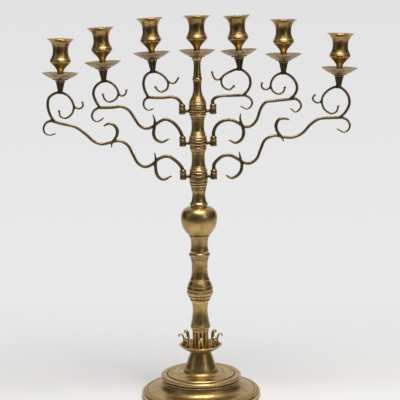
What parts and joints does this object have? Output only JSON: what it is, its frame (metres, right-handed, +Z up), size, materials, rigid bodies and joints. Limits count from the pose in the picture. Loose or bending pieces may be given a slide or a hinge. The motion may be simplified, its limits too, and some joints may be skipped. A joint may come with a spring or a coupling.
{
  "type": "menorah",
  "caption": "Tall table candelabrum for a row of candles: stepped round foot, turned column and scrolled arms that swing on upright pins, each ending in a drip pan and candle nozzle.",
  "frame": {"origin": "on the column's axis, on the plane that the foot stands on", "axes": "+Z up the column, +X and -X along the two rows of arms, -Y towards the viewer"},
  "size_m": [0.468, 0.181, 0.5795],
  "materials": {
    "column_brass": "aged, satin, turned, with brown in the grooves",
    "holder_brass": "aged, satin, turned",
    "arm_brass": "dark patina on a casting",
    "iron": "dull, oxidised"
  },
  "bodies": {
    "stand": {"base_foot": "column_brass", "neck_cone": "column_brass", "coronet": "column_brass", "fluted_collar": "column_brass", "lower_baluster": "column_brass", "knop": "column_brass", "mid_stem": "column_brass", "ring_collar": "column_brass", "ball_stem": "column_brass", "ball": "column_brass", "upper_stem": "column_brass", "hub_low": "column_brass", "spacer_low": "column_brass", "hub_mid": "column_brass", "spacer_high": "column_brass", "hub_top": "column_brass", "top_stem": "column_brass", "tie_rod": "iron", "rod_washer": "iron", "rod_nut": "iron", "centre_pan": "holder_brass", "centre_nozzle": "holder_brass"},
    "left_inner": {"left_inner_arm": "arm_brass", "left_inner_pan": "holder_brass", "left_inner_nozzle": "holder_brass"},
    "left_middle": {"left_middle_arm": "arm_brass", "left_middle_pan": "holder_brass", "left_middle_nozzle": "holder_brass"},
    "left_outer": {"left_outer_arm": "arm_brass", "left_outer_pan": "holder_brass", "left_outer_nozzle": "holder_brass"},
    "right_inner": {"right_inner_arm": "arm_brass", "right_inner_pan": "holder_brass", "right_inner_nozzle": "holder_brass"},
    "right_middle": {"right_middle_arm": "arm_brass", "right_middle_pan": "holder_brass", "right_middle_nozzle": "holder_brass"},
    "right_outer": {"right_outer_arm": "arm_brass", "right_outer_pan": "holder_brass", "right_outer_nozzle": "holder_brass"}
  },
  "joints": [
    {"name": "left_inner_swing", "type": "hinge", "parent": "stand", "child": "left_inner", "pos_m": [-0.023, 0, 0.444], "axis": [0, 0, 1], "range_deg": [-60, 60]},
    {"name": "left_middle_swing", "type": "hinge", "parent": "stand", "child": "left_middle", "pos_m": [-0.023, 0, 0.396], "axis": [0, 0, 1], "range_deg": [-80, 80]},
    {"name": "left_outer_swing", "type": "hinge", "parent": "stand", "child": "left_outer", "pos_m": [-0.023, 0, 0.346], "axis": [0, 0, 1], "range_deg": [-80, 80]},
    {"name": "right_inner_swing", "type": "hinge", "parent": "stand", "child": "right_inner", "pos_m": [0.023, 0, 0.444], "axis": [0, 0, 1], "range_deg": [-60, 60]},
    {"name": "right_middle_swing", "type": "hinge", "parent": "stand", "child": "right_middle", "pos_m": [0.023, 0, 0.396], "axis": [0, 0, 1], "range_deg": [-80, 80]},
    {"name": "right_outer_swing", "type": "hinge", "parent": "stand", "child": "right_outer", "pos_m": [0.023, 0, 0.346], "axis": [0, 0, 1], "range_deg": [-80, 80]}
  ]
}
